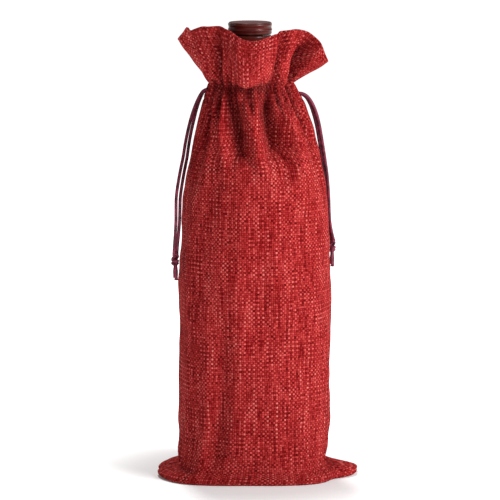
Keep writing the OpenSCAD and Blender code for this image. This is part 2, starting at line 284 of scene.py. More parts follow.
def woven_cloth(name, shade=1.0):
    """Coarse plain weave: bright slubby warp over dark weft, with painted shade in the gaps between yarns
    and deep in the folds, and painted glints where the warp runs brightest. A shade below 1 gives a darker
    copy of the same cloth, as painted shade.
    """
    pitch = 1.45 * MM
    s = Shader(name)
    u, v = s.uv()
    drift_u = s.math("MULTIPLY", s.noise(s.vector(u, v), 90, 1), 0.9)
    drift_v = s.math("MULTIPLY", s.noise(s.vector(v, u, 3.0), 90, 1), 0.9)
    warp = s.math("ADD", s.math("DIVIDE", u, pitch), drift_u)
    weft = s.math("ADD", s.math("DIVIDE", v, pitch), drift_v)
    warp_id = s.math("FLOOR", warp)
    weft_id = s.math("FLOOR", weft)
    across_warp = s.math("SUBTRACT", s.math("FRACT", warp), 0.5)
    across_weft = s.math("SUBTRACT", s.math("FRACT", weft), 0.5)
    over = s.math("ABSOLUTE", s.math("MODULO", s.math("ADD", warp_id, weft_id), 2.0))

    def crown(across):
        """1 along the middle of a yarn and 0 at its sides."""
        return s.math("COSINE", s.math("MULTIPLY", across, math.pi))

    def arch(across, along):
        """Height of a yarn that rises over one neighbour and dives under the next."""
        return s.math("MULTIPLY", s.math("POWER", crown(across), 0.6),
                      s.math("ADD", 0.25, s.math("MULTIPLY", crown(along), 0.75)))

    height = s.mix(over, arch(across_weft, across_warp), arch(across_warp, across_weft))

    def stretched(x, y, seed, wide, tall):
        """A place in the noise, x and y scaled apart so that what it draws is long one way."""
        return s.vector(s.math("MULTIPLY", x, wide), s.math("MULTIPLY", y, tall), seed)

    def tone(yarn, along, seed, slubby):
        """Lightness of a yarn: long slubs and short flecks."""
        slub = s.noise(stretched(yarn, along, seed, 7.13, 0.06), 1, 2, 0.6)
        fleck = s.noise(stretched(yarn, along, seed + 5, 3.71, 0.8), 1, 1)
        return s.math("ADD", s.math("MULTIPLY", slub, slubby), s.math("MULTIPLY", fleck, 1 - slubby))

    clouds = s.noise(s.vector(u, s.math("MULTIPLY", v, 0.35)), 60, 3)
    broad = s.math("MULTIPLY", s.math("SUBTRACT", clouds, 0.5), 0.12)
    alternate = s.math("MULTIPLY", s.math("ABSOLUTE", s.math("MODULO", warp_id, 2.0)), 0.07)
    warp_tone = s.math("SUBTRACT", s.math("ADD", tone(warp_id, weft, 1.0, 0.7), broad), alternate)
    # The pale pinkish top of the warp's colours is partly the yarn's own bright slubs and flecks and partly
    # painted glints of its sheen.
    warp_colour = s.ramp(warp_tone, [
        (0.32, (0.200 * shade, 0.003 * shade, 0.004 * shade)),
        (0.43, (0.430 * shade, 0.024 * shade, 0.024 * shade)),
        (0.54, (0.660 * shade, 0.075 * shade, 0.070 * shade)),
        (0.70, (0.850 * shade, 0.205 * shade, 0.180 * shade)),
    ])
    weft_colour = s.ramp(s.math("ADD", tone(weft_id, warp, 11.0, 0.3), broad), [
        (0.34, (0.110 * shade, 0.001 * shade, 0.002 * shade)),
        (0.47, (0.270 * shade, 0.008 * shade, 0.009 * shade)),
        (0.59, (0.430 * shade, 0.030 * shade, 0.030 * shade)),
        (0.72, (0.620 * shade, 0.100 * shade, 0.090 * shade)),
    ])
    yarn_colour = s.mix_colour(over, weft_colour, warp_colour)
    # Painted shade between the yarns: the low parts of the weave are drawn down to about a quarter as
    # bright.
    gap_shade = s.mix(s.math("POWER", height, 0.8), 0.24, 1.0)
    # Painted shade in folds and between pleats: the cloth is drawn up to 60% darker where the mesh's shade
    # attribute is 1.
    fold_shade_factor = s.math("SUBTRACT", 1.0, s.math("MULTIPLY", s.attribute("hollow"), 0.6))
    light = s.math("MULTIPLY", gap_shade, fold_shade_factor)
    painted_shade_grey = s.vector(light, light, light)
    s.bump(height, 0.4 * MM, 0.7)
    return s.set(Base_Color=s.mix_colour(1.0, yarn_colour, painted_shade_grey, "MULTIPLY"), Roughness=0.9,
                 Specular_IOR_Level=0.05)


def satin_cord(name):
    """Fine braid in dark wine satin."""
    s = Shader(name)
    along, around = s.uv()
    turning = 3000.0       # of the braid, in radians for each metre
    one_way = s.math("SINE", s.math("MULTIPLY", s.math("ADD", along, around), turning))
    other_way = s.math("SINE", s.math("MULTIPLY", s.math("SUBTRACT", along, around), turning))
    braid = s.math("MULTIPLY", one_way, other_way)
    # The braid pattern in the colour is a little painted shade: lighter on the braid's raised crossings and
    # darker between them.
    level = s.math("ADD", s.math("MULTIPLY", braid, 0.06), s.noise(s.place(), 260, 2))
    colour = s.ramp(level, [(0.25, (0.035, 0.002, 0.008)), (0.5, (0.120, 0.008, 0.026)),
                            (0.75, (0.230, 0.022, 0.056))])
    s.bump(braid, 0.05 * MM, 0.4)
    return s.set(Base_Color=colour, Roughness=0.5, Specular_IOR_Level=0.3,
                 Sheen_Weight=0.08, Sheen_Roughness=0.35)


def spun_thread(name, colour):
    """Plied sewing thread, with painted shade in the grooves between its plies."""
    s = Shader(name)
    along, around = s.uv()
    turning = 5200.0       # of the ply, in radians for each metre
    ply = s.math("SINE", s.math("MULTIPLY", s.math("ADD", along, around), turning))
    # Painted shade: the grooves of the ply are drawn at 55% of the thread's colour.
    low = tuple(c * 0.55 for c in colour)
    tone = s.ramp(s.math("ADD", s.math("MULTIPLY", ply, 0.5), 0.5), [(0.1, low), (0.9, colour)])
    s.bump(ply, 0.08 * MM, 0.5)
    return s.set(Base_Color=tone, Roughness=0.7, Specular_IOR_Level=0.1)


def shrink_foil(name):
    """Glossy dark wine foil, a little mottled where it has shrunk on the glass."""
    s = Shader(name)
    mottle = s.noise(s.place(), 120, 3)
    colour = s.ramp(mottle, [(0.3, (0.060, 0.005, 0.004)), (0.7, (0.130, 0.016, 0.011))])
    rough = s.mix(s.noise(s.place(), 420, 2), 0.24, 0.42)
    s.bump(s.noise(s.place(), 240, 2), 0.10 * MM, 0.35)
    return s.set(Base_Color=colour, Roughness=rough, Specular_IOR_Level=0.22,
                 Coat_Weight=0.12, Coat_Roughness=0.12)


def bottle_glass(name):
    """Dark green bottle glass with faint mould ripples."""
    s = Shader(name)
    depth = s.ramp(s.noise(s.place(), 30, 2), [(0.2, (0.012, 0.040, 0.012)), (0.8, (0.030, 0.085, 0.025))])
    s.bump(s.noise(s.place(), 60, 2), 0.15 * MM, 0.3)
    return s.set(Base_Color=depth, Roughness=0.06, Transmission_Weight=0.85, IOR=1.52)


def red_wine(name):
    """Nearly black red wine."""
    s = Shader(name)
    colour = s.ramp(s.noise(s.place(), 12, 1), [(0.3, (0.020, 0.001, 0.004)), (0.7, (0.040, 0.002, 0.007))])
    return s.set(Base_Color=colour, Roughness=0.05, IOR=1.34)


def natural_cork(name):
    """Pale cork with dark pores."""
    s = Shader(name)
    grain = s.noise(s.place(), 380, 5, 0.7)
    colour = s.ramp(grain, [(0.30, (0.12, 0.06, 0.03)), (0.42, (0.52, 0.34, 0.19)),
                            (0.70, (0.68, 0.49, 0.30))])
    s.bump(grain, 0.3 * MM, 0.5)
    return s.set(Base_Color=colour, Roughness=0.85)


cloth_material = woven_cloth("woven_cloth")
# The seam allowances and the bottom seam sit inside the bag and get the same cloth a quarter darker: painted
# shade.
shaded_seam_material = woven_cloth("seam_cloth", 0.75)
cord_material = satin_cord("satin_cord")
thread_material = spun_thread("thread", (0.34, 0.016, 0.020))
foil_material = shrink_foil("capsule_foil")


def finish_piece(piece, body, slot, material, *replaced):
    """Gives a piece its material and body, and hides the CAD nodes that it stands for. slot is not used."""
    piece.data.materials.clear()
    piece.data.materials.append(material)
    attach(piece, body)
    if replaced:
        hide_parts(*replaced)
    return piece


# ---- drawstrings ----

CORD = 2.2 * MM
STRAND_GAP = 2.6 * MM
KNOT_HEIGHT = 8 * MM
LEFT_BOW = -1.4 * MM   # how far the left cord's front strand hangs away from its other strand
# The middle line of each cord in mm, from its exit down to its knot
left_route = [
    (-28, 0, 263), (-31.2, 0, 261.3), (-34, -0.5, 256.4), (-36.6, -1, 249.6),
    (-38.7, -1.8, 242), (-40.5, -3, 234.2), (-42, -4.6, 226), (-43.2, -6.8, 217.6),
    (-44.9, -10.4, 209), (-46.4, -14.4, 200.6), (-47.6, -17, 191.8), (-47.9, -18.2, 183),
    (-48.2, -18.5, 175), (-48.8, -18.2, 167.4), (-49.5, -17.6, 160.2), (-50, -17, 153.6),
]
right_route = [
    (31, 0, 260), (34.5, 0, 259.7), (38, 0.5, 257.5), (41.2, 1, 252.5),
    (43.8, 1.5, 245.5), (45.8, 2.5, 237.5), (47.3, 4, 229), (48.7, 6, 220.5),
    (50, 9, 212), (51.2, 13, 203.5), (52, 16.5, 195), (52.6, 19, 186.5),
    (52.9, 20.3, 178.6), (53.3, 20.8, 171.2), (54.4, 20.4, 164), (56, 19.4, 157.4),
]
STRAND_TURN = math.radians(50)     # how far the pair of strands turns about the cord's middle line
TURNED_AT = 4                      # the station of the route where that turn is complete


def strand_route(route, side, bow):
    """One strand of a cord, in metres. The two leave one behind the other and soon hang side by side."""
    last = len(route) - 1
    points = [Vector(point) * MM for point in route]
    strand = []
    for i, point in enumerate(points):
        heading = (points[min(i + 1, last)] - points[max(i - 1, 0)]).normalized()
        outward = -math.copysign(1, points[0].x) * Vector((0, 1, 0)).cross(heading).normalized()
        turn = STRAND_TURN * min(1, i / TURNED_AT)
        beside = math.cos(turn) * Vector((0, 1, 0)) - math.sin(turn) * outward
        bowed = Vector((bow * math.sin(math.pi * i / last) ** 2 * i / last, 0, 0))
        strand.append(point + bowed + side * STRAND_GAP / 2 * beside)
    return strand


def make_strand(name, side_name, points):
    """A strand hanging from its exit to the knot."""
    route = smooth_route(points, 1.2 * MM)
    into_knot = Vector((0, 0, -1.5 * MM))
    route.append(route[-1] + into_knot)
    strand = tube(name, route, CORD / 2, 20)
    finish_piece(strand, f"{side_name}_strands", "cord", cord_material, name)
    return strand


def knot_path(centre, shift):
    """An overhand knot pulled snug: down, once round itself, through the loop and out below."""
    round_r = 1.9 * MM
    turns = 1.55
    steps = 64
    points = []
    for i in range(steps + 1):
        s = i / steps
        turn = 2 * math.pi * (turns * s) - 0.5 * math.pi
        swell = math.sin(math.pi * s) ** 0.6
        height = KNOT_HEIGHT / 2 * (1 - 2 * s) + 1.1 * MM * math.sin(3 * math.pi * s)
        points.append(centre + Vector((
            round_r * swell * math.cos(turn) + shift * 0.25 * math.sin(turn),
            round_r * swell * math.sin(turn) * 0.8 + shift * (1 - 0.5 * swell),
            height - shift * 0.9 * swell,
        )))
    return points


def make_knot(name, body, centre):
    """Both strands tied together in one overhand knot."""
    parts = [tube(f"{name}_{i}", knot_path(centre, shift), CORD / 2 * 0.95, 16)
             for i, shift in enumerate((-0.5 * STRAND_GAP, 0.5 * STRAND_GAP))]
    return finish_piece(joined(name, parts), body, "cord", cord_material, name)


def make_tails(name, body, centre):
    """The two cut ends, a little frayed and flared."""
    tail_length = 10 * MM
    parts = []
    for i, side in enumerate((FRONT, BACK)):
        start = centre + Vector((0, side * 0.5 * STRAND_GAP, -KNOT_HEIGHT / 2 + 1.2 * MM))
        out = Vector((side * 0.3 * MM, side * 2.4 * MM, -(tail_length + side * 1.3 * MM)))
        middle = start + out * 0.5 + Vector((0.4 * MM * side, side * 0.5 * MM, 0))
        route = smooth_route([start, middle, start + out], 0.8 * MM)
        parts.append(tube(f"{name}_{i}", route,
                          lambda s: CORD / 2 * (1 + 0.18 * max(0, s - 0.8) / 0.2), 16))
    return finish_piece(joined(name, parts), body, "cord", cord_material, name)


def make_drawstring(side_name, route, bow):
    """One side's knot, tails and two strands."""
    end = Vector(route[-1]) * MM
    centre = end - Vector((0, 0, KNOT_HEIGHT / 2 + 0.3 * MM))
    body = f"{side_name}_cord_end"
    knot = make_knot(f"{side_name}_knot", body, centre)
    tails = make_tails(f"{side_name}_tails", body, centre)
    front = make_strand(f"{side_name}_front_strand", side_name, strand_route(route, FRONT, bow))
    rear = make_strand(f"{side_name}_rear_strand", side_name, strand_route(route, BACK, 0))
    for strand in (front, rear):
        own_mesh(strand)


make_drawstring("left", left_route, LEFT_BOW)
make_drawstring("right", right_route, 0)


# ---- the cloth's shape ----

def through(stations, at, blur):
    """A smooth line through (place, value) stations, rounded over about blur."""
    steps = 8
    reach = 2 * steps
    places, values = np.array(stations, float).T
    fine = np.arange(places[0] - 4 * blur, places[-1] + 4 * blur, blur / steps)
    line = np.interp(fine, places, values)
    kernel = np.exp(-0.5 * (np.arange(-reach, reach + 1) / steps) ** 2)
    line = np.convolve(np.pad(line, reach, mode="edge"), kernel / kernel.sum(), "valid")
    return np.interp(at, fine, line)


def along_table(table, at, blur):
    """Every later column of a table, read smoothly at a place along its first."""
    return [through([(row[0], row[k]) for row in table], at, blur) for k in range(1, len(table[0]))]


def clear_radius(height):
    """The radius in mm that the cloth keeps clear of at one height."""
    return np.interp(height, *np.array(INSIDE, float).T)


# Height, then how far the cloth reaches to the left, right, front and back of the bottle's axis, in mm
WALL = [
    (0, 48.5, 49, 43.5, 43), (10, 48.4, 50.4, 43.5, 43), (22, 48.4, 53.6, 43.4, 43),
    (34, 48.4, 54, 43.2, 43.3), (60, 48.2, 54.7, 43, 43.5), (105, 47.5, 55, 43, 43.5),
    (126, 48, 54.8, 43, 43.4), (150, 47.4, 53.4, 42.6, 43), (174, 46.2, 52.6, 42, 42.6),
    (190, 44.6, 52, 41.2, 42), (201, 43, 50.5, 40.4, 41), (210, 41.6, 49, 38.8, 39.6),
    (222, 39, 46, 35.4, 36.4), (235, 36.4, 43, 32.6, 33.2), (248, 32.8, 38.2, 30.4, 30.6),
    (255, 30.2, 34.6, 29.4, 29), (261, 26.8, 29.4, 28.6, 28.4), (267, 25.8, 27.4, 28.2, 28.2),
]
# Height, then the radius in mm that the cloth keeps clear of: the bottle standing or lifted, and the
# loops of cord in the channel
INSIDE = [
    (0, 38), (204, 38), (209, 37.4), (214, 35.6), (218, 33), (222, 29), (226, 22.6), (230, 17.4),
    (236, 15), (252, 15), (257, 23.4), (267, 23.4), (271, 15),
]
# Height, then the share of each bottom corner's reach: thick tongues of cloth that lie on the floor
LEFT_EAR = [
    (0, 0.82), (1.3, 0.96), (2.5, 1), (3.8, 0.97), (4.8, 0.84), (5.7, 0.60), (6.4, 0.32), (7.2, 0.08),
    (8.2, 0),
]
RIGHT_EAR = [
    (0, 0.84), (1.5, 0.97), (3, 1), (4.6, 0.97), (5.8, 0.82), (6.8, 0.56), (7.6, 0.30), (8.4, 0.10),
    (9.6, 0),
]
# Angle from +X, then the frill edge's radius and height, its bulge low down and its curl high up
FRILL = [
    (0, 52, 281.5, 1, 1), (20, 46, 284, 3, 2), (45, 39, 290, 6, 5), (70, 33, 289, 3, 1),
    (90, 31.5, 288, 10, 8), (110, 34, 292, 3, 0), (135, 38, 296, 6, 4), (157, 45.5, 299.5, 1, 0),
    (165, 46.2, 303.5, 0, 0), (173, 48.5, 299, 0, 0), (180, 50.5, 295.6, 0, 0), (197, 41.8, 302.6, 5, 4),
    (208, 38.6, 306, 6, 5), (216, 36, 305.8, 2, 1), (224, 34.4, 306.2, 0, -2), (234, 34.2, 306, 5, 1),
    (245, 34.8, 303.8, 9, 5), (255, 35.6, 300.4, 13, 8), (262, 36, 298.4, 16, 9),
    (270, 36.2, 297.8, 17, 9), (278, 35.8, 298.4, 15, 9), (288, 35, 300.2, 11, 8),
    (298, 33.8, 301.8, 7, 5), (307, 32.4, 302.6, 3, 0), (314, 32.4, 303.4, -1, -2),
    (320, 34.6, 304.2, 2, 1), (327, 38, 304, -3, 0), (334, 41.4, 302, -9, -3),
    (341, 44.2, 298.5, -10, -3), (348, 46.6, 293.6, -4, 0), (354, 49.4, 287.5, 0, 1),
]
# The frill's right corner flops forward
FLOP = 17.0            # how far, in mm
FLOP_ANGLE = -7.0      # where its middle is, and how wide the flopping part is, in degrees
FLOP_SPREAD = 14.0
# Folds drawn in by the cord. Each runs through (height, angle, depth, half-width), and one of negative
# depth stands out as a ridge. Above the channel the height goes on along the frill
FRONT_FOLDS = [
    [(264, 246, 3.4, 2.6), (250, 251, 9.5, 4.6), (232, 257, 11.5, 5.8), (219, 260, 8.0, 5.6),
     (208, 262, 2.4, 5.6), (201, 262, 0, 5.6)],
    [(264, 289, 3.4, 2.4), (250, 290, 9.5, 4.6), (237, 293, 13.5, 6.2), (222, 295, 12.5, 6.6),
     (210, 297, 4.5, 6.6), (200, 297, 0, 6.6)],
    [(264, 324, 3.0, 2.0), (250, 325, 4.5, 2.4), (232, 332, 5.0, 2.8), (212, 339, 3.4, 3.2),
     (192, 344, 0, 4.0)],
    [(298, 311, 2.6, 2.8), (284, 303, 6.0, 3.6), (267, 297, 5.4, 3.0), (254, 304, 4.0, 2.6),
     (238, 307, 0, 2.4)],
    [(298, 226, 2.0, 3.4), (284, 227, 4.4, 3.8), (267, 223, 5.0, 3.0), (254, 229, 4.6, 2.6),
     (240, 232, 0, 2.4)],
    [(272, 238, 1.0, 2.0), (262, 239, 4.0, 2.0), (250, 244, 3.6, 2.2), (236, 246, 0, 2.2)],
    [(266, 211, 2.8, 2.4), (250, 211, 5.0, 3.6), (230, 213, 5.5, 4.5), (212, 213, 3.0, 5.0),
     (196, 212, 0, 5.0)],
    [(296, 339, 0, 3.0), (286, 339, 6.5, 3.8), (275, 335, 8.0, 3.4), (267, 329, 4.0, 2.4),
     (256, 325, 0, 2.0)],
    [(256, 311, 0, 2.5), (246, 314, -2.0, 3.0), (236, 317, -2.8, 3.4), (222, 319, -2.2, 4.0),
     (206, 320, 0, 5.0)],
    [(264, 337, 2.5, 2.0), (250, 338, 3.0, 2.4), (226, 341, 2.4, 3.0), (206, 343, 0, 3.0)],
    [(275, 270, 0, 2.0), (263, 269, 3.0, 2.0), (252, 271, 1.6, 2.0), (238, 272, 0, 2.0)],
    [(268, 279, 1.0, 1.8), (261, 280, 3.2, 1.8), (250, 282, 1.4, 2.0), (242, 282, 0, 2.0)],
    [(268, 258, 1.0, 1.8), (261, 259, 3.0, 1.8), (252, 261, 1.2, 2.0), (244, 262, 0, 2.0)],
    [(272, 312, 1.0, 1.8), (262, 313, 3.4, 2.0), (248, 314, 2.6, 2.2), (232, 318, 0, 2.4)],
    [(266, 197, 2.0, 2.0), (252, 197, 2.8, 2.6), (228, 199, 2.2, 3.2), (205, 199, 0, 3.0)],
    [(34, 184, 0, 2.0), (20, 191, 2.8, 2.2), (9, 199, 2.2, 2.4), (4, 205, 0, 2.0)],
    [(40, 352, 0, 2.0), (22, 345, 1.6, 2.2), (10, 334, 2.2, 2.2), (3, 325, 1.2, 2.0), (0, 322, 0, 2.0)],
    [(140, 250, 0, 8.0), (95, 248, 1.8, 6.0), (45, 246, 3.0, 5.0), (18, 244, 1.8, 5.0), (4, 243, 0, 5.0)],
    [(120, 292, 0, 6.0), (80, 295, 0.9, 6.0), (30, 298, 1.0, 5.0), (8, 300, 0, 5.0)],
]
BACK_FOLDS = [
    [(298, 62, 2.0, 3.0), (280, 60, 5.0, 3.0), (262, 63, 4.0, 2.6), (244, 66, 5.0, 4.0), (212, 68, 0, 4)],
    [(298, 116, 2.0, 3.0), (280, 118, 6.0, 3.0), (262, 115, 4.0, 2.6), (240, 112, 7.0, 4.6),
     (208, 108, 0, 5)],
    [(290, 24, 0, 2.6), (276, 26, 4.0, 2.6), (262, 28, 3.0, 2.2), (246, 30, 4.0, 3.0), (206, 30, 0, 3)],
    [(290, 150, 0, 2.6), (276, 148, 4.0, 2.6), (262, 150, 3.0, 2.2), (244, 148, 4.4, 3.2), (200, 146, 0, 3)],
    [(270, 84, 1.0, 2.0), (262, 85, 4.0, 2.2), (242, 87, 6.5, 4.6), (206, 90, 0, 5)],
    [(268, 100, 1.0, 2.0), (262, 99, 3.0, 2.0), (248, 99, 2.0, 2.2), (236, 99, 0, 2)],
    [(268, 45, 1.0, 2.0), (262, 45, 3.4, 2.0), (246, 47, 3.0, 2.6), (222, 48, 0, 3)],
    [(268, 132, 1.0, 2.0), (262, 132, 3.4, 2.0), (246, 131, 3.4, 2.6), (218, 130, 0, 3)],
    [(266, 166, 1.0, 2.0), (252, 166, 2.6, 2.4), (226, 165, 2.0, 3.0), (200, 165, 0, 3)],
    [(266, 12, 1.0, 2.0), (252, 12, 2.6, 2.4), (226, 13, 2.0, 3.0), (200, 13, 0, 3)],
    [(150, 70, 0, 7.0), (100, 72, 1.3, 7.0), (40, 74, 1.6, 6.0), (10, 75, 0.6, 6)],
]
FOLD_FADE = 6          # how far past its highest station a fold fades out, in mm
COLUMNS = 200          # points across each cloth
FLOOR_ROWS = 8         # rows of points under the bottle
CHANNEL_ROWS = 9
FRILL_ROWS = 33
FACING_ROWS = 8        # rows inside the channel
FRILL_LENGTH = 31.0    # how far the heights in the fold tables go on above the channel, in mm
SEAM_GAP = 0.15        # from the middle plane to each cloth at a side seam, in mm
PINCH_HEIGHT = 261.5   # where the cords draw the channel in most, in mm
PINCH_SPREAD = 12      # how far above and below that the pleats reach, in mm
GATHER_DEPTH = 2.1     # of the pleats under the cords, in mm
PLEATS = 23            # pleats all round the neck
PLEAT_SEED = 0.6


def pleat(angle, count, seed):
    """Round ridges and narrow valleys, unevenly spaced round the neck. 1 on a ridge, -1 in a valley."""
    uneven = angle + 0.10 * np.sin(3 * angle + seed) + 0.06 * np.sin(7 * angle + 2 * seed)
    valley = 0.5 - 0.5 * np.cos(count * uneven + seed)
    depth = 0.8 + 0.2 * np.sin(5 * angle + 3 * seed)
    return 1 - 2 * valley ** 1.7 * depth


def noise_at(x, y, z, size, seed):
    """Smooth noise from about -0.5 to 0.5, with features of about size mm."""
    return np.array([noise.noise(Vector((a / size, b / size, c / size + seed))) for a, b, c in zip(x, y, z)])


def fold_depth(angle, height, reach):
    """How far the folds draw the cloth in at these angles of one height, in mm, and how steeply, which sets
    their painted shade.

    The cloth swells out a little on both sides of each fold.
    """
    total = np.zeros_like(angle)
    steep = np.zeros_like(angle)
    for fold in FRONT_FOLDS + BACK_FOLDS:
        heights = [row[0] for row in fold]
        if not min(heights) - FOLD_FADE < height < max(heights) + FOLD_FADE:
            continue
        centre, depth, width = along_table(sorted(fold), height, 2.5)
        apart = np.angle(np.exp(1j * (angle - np.radians(centre))))
        share = depth * np.clip((max(heights) + FOLD_FADE - height) / FOLD_FADE, 0, 1)
        beside = np.abs(apart) * reach / width
        drawn = share * np.exp(-beside ** 1.6)
        swell = 0.24 * share * np.exp(-((beside - 1.8) / 0.6) ** 2)
        total += drawn - swell
        steep += drawn / width
    return total, steep


def hollow_at(angle, height, steep):
    """Painted shade for the cloth's colour, where shade falls: 0 on open cloth to 1 deep in a fold or
    between two pleats. Folds open out lower down.
    """
    near_cords = math.exp(-((height - 262) / 9) ** 2)
    pleat_shade = near_cords * np.clip(0.2 - pleat(angle, PLEATS, PLEAT_SEED), 0, 1)
    closed = np.clip((height - 195) / 55, 0.3, 1)
    return np.clip(1 - np.exp(-np.maximum(steep * closed - 0.3, 0)) + 1.1 * pleat_shade, 0, 1)


def gathers(angle, height):
    """Fine pleats under the cord, strongest at the channel, in mm outward."""
    near_cords = math.exp(-((height - PINCH_HEIGHT) / PINCH_SPREAD) ** 2)
    return GATHER_DEPTH * near_cords * pleat(angle, PLEATS, PLEAT_SEED)


def ear(angle, height):
    """How far the bottom corners stand out in mm: the left one round, the right one drawn to a point."""
    to_left = np.clip(-np.cos(angle), 0, 1)
    to_right = np.clip(np.cos(angle), 0, 1)
    left = 12.0 * to_left ** 1.4 + 2.4 * to_left ** 30
    right = 8.5 * to_right + 16.0 * to_right ** 55
    return left * through(LEFT_EAR, height, 0.5), right * through(RIGHT_EAR, height, 0.5)


def section(angle, height):
    """The cloth's section at one height in mm, as x, y and its painted shade, without small creases."""
    left, right, front, back = along_table(WALL, height, 3.5)
    c, s = np.cos(angle), np.sin(angle)
    wide = np.where(c < 0, left, right)
    deep = np.where(s < 0, front, back)
    power = 2 / (2.1 + 1.8 * math.exp(-height / 13))
    x = np.sign(c) * np.abs(c) ** power * wide
    y = np.sign(s) * np.abs(s) ** power * deep
    reach = np.hypot(x, y)
    depth, steep = fold_depth(angle, height, reach)
    free = reach + gathers(angle, height) - depth
    least = clear_radius(height) + 1.6
    clear = least + np.logaddexp(0, (free - least) / 0.6) * 0.6
    x, y = x * clear / reach, y * clear / reach
    left_ear, right_ear = ear(angle, height)
    return x + right_ear - left_ear, y, hollow_at(angle, height, steep)


def crease(x, y, z, angle):
    """Soft drapes and small dents of the slack cloth, in mm outward."""
    height = z[0]
    slack = min(1, height / 20) * min(1, max(0, 262 - height) / 60)
    facing = 0.45 + 0.55 * np.abs(np.sin(angle))
    long_folds = noise_at(np.cos(angle) * 60, np.sin(angle) * 60, z * 0.35, 22, 4.0)
    slanting = noise_at(x, y, z + 0.6 * x, 30, 9.0)
    small = noise_at(x, y, z, 11, 17.0)
    low = math.exp(-((height - 20) / 15) ** 2) * np.clip(np.abs(x) / 50 - 0.4, 0, 1)
    drag = np.sin((z + 0.9 * np.abs(x)) / 4.2) * low
    return slack * facing * (2.6 * long_folds + 1.6 * slanting) + 0.6 * small + 0.9 * drag


def about_channel(r, angle):
    """A place round the channel's own middle, in mm."""
    return CHANNEL_X / MM + r * np.cos(angle), r * np.sin(angle)


def frill_values(angle):
    """The frill's stations at each angle, going round smoothly."""
    turns = [np.array(FRILL) + [turn, 0, 0, 0, 0] for turn in (-360, 0, 360)]
    return along_table(np.concatenate(turns), np.degrees(angle) % 360, 2.4)


def frill_point(angle, share, values, start):
    """Points of the frill in mm, and the painted shade of each. share is 0 at the channel and 1 at the edge.
    """
    edge_r, edge_z, bulge, curl = values
    top = CHANNEL_TOP / MM
    r1 = start + (edge_r - start) / 3 + bulge
    sag = 0.5 + 0.5 * np.cos(9 * (angle - math.radians(263)))
    z1 = top + (edge_z - top) / 3 - sag * np.maximum(bulge, 0)
    r2 = start + (edge_r - start) * 2 / 3 + curl
    z2 = top + (edge_z - top) * 2 / 3
    a, b, c, d = (1 - share) ** 3, 3 * share * (1 - share) ** 2, 3 * share ** 2 * (1 - share), share ** 3
    r = a * start + b * r1 + c * r2 + d * edge_r
    z = a * top + b * z1 + c * z2 + d * edge_z
    height = top + FRILL_LENGTH * share
    fold, steep = fold_depth(angle, height, r)
    fold -= fold_depth(angle, top, start)[0] * (1 - share) ** 2
    waves = 0.7 * share * pleat(angle, 9, 2.1)
    waves += gathers(angle, height) - gathers(angle, top) * (1 - share) ** 3
    # Painted shade under the billowing lip and in the hollow of each lobe that turns in.
    lip_shade = 1.6 * math.exp(-(share / 0.10) ** 2) * np.clip(bulge / 12, 0, 1)
    lobe_shade = 0.12 * math.sin(math.pi * share ** 0.7) * np.maximum(0, -(bulge + curl))
    hollow = hollow_at(angle, height, steep + lobe_shade + lip_shade)
    return *about_channel(np.maximum(r - fold + waves, 19), angle), z, hollow


def flop(angle, share):
    """How far forward the frill's right corner hangs, in mm."""
    apart = np.degrees(np.angle(np.exp(1j * (angle - math.radians(FLOP_ANGLE)))))
    return FLOP * math.sin(math.pi / 2 * share) ** 1.3 * np.exp(-(apart / FLOP_SPREAD) ** 2)


def wall_heights():
    """The heights in mm of the rows up to the channel's top, closest together where the cloth bends most."""
    heel = [0.3, 0.8, 1.5, 2.3, 3.2, 4.1, 5, 5.7, 6.3, 6.9, 7.4,
            7.9, 8.4, 8.9, 9.4, 9.9, 10.4, 11, 11.7, 12.5, 13.5, 15]
    open_wall = np.arange(17, 190, 2.6)
    under_cords = np.arange(190, CHANNEL_BOTTOM / MM - 0.5, 1.3)
    channel = np.linspace(CHANNEL_BOTTOM / MM, CHANNEL_TOP / MM, CHANNEL_ROWS)
    return np.concatenate([heel, open_wall, under_cords, channel])


def pushed_out(x, y, out):
    """Points moved outward from the bottle's axis, all in mm."""
    grown = 1 + out / np.hypot(x, y)
    return x * grown, y * grown


def wall_row(angle, height, billow):
    """The cloth's points in mm at one height with all their creases, and the painted shade of each, with
    painted shadow under the frill's billowing lip.
    """
    bottom, top = CHANNEL_BOTTOM / MM, CHANNEL_TOP / MM
    x, y, hollow = section(angle, height)
    z = np.full_like(angle, height)
    to_side_seam = np.minimum(np.abs(angle), math.pi - np.abs(angle))
    tuck = 0.8 * np.exp(-(to_side_seam / 0.02) ** 2)
    channel = np.clip((height - bottom) / (top - bottom), 0, 1)
    swell = 0.5 * math.sin(math.pi * channel) ** 0.7
    pinch = 0.3 * (math.exp(-((height - bottom) / 0.8) ** 2) + math.exp(-((height - top) / 0.8) ** 2))
    heel = math.exp(-height / 1.1)
    out = crease(x, y, z, angle) - tuck + swell - pinch - heel
    room = np.hypot(x, y) - clear_radius(height) - 1.2
    out = np.maximum(out, -np.maximum(room, 0))
    # Painted shadow under the frill's billowing lip, over the top of the channel.
    shadowed = 0.9 * billow * math.exp(-((top - height) / 3.2) ** 2)
    return *pushed_out(x, y, out), z, np.clip(hollow + shadowed, 0, 1)


def frill_row(angle, share, values, start):
    """The frill's points in mm at one share of its height with small dents, and the painted shade of each.
    """
    x, y, z, hollow = frill_point(angle, share, values, start)
    dents = 0.9 * noise_at(x, y, z, 10, 31.0)
    return *pushed_out(x, y, dents), z, hollow


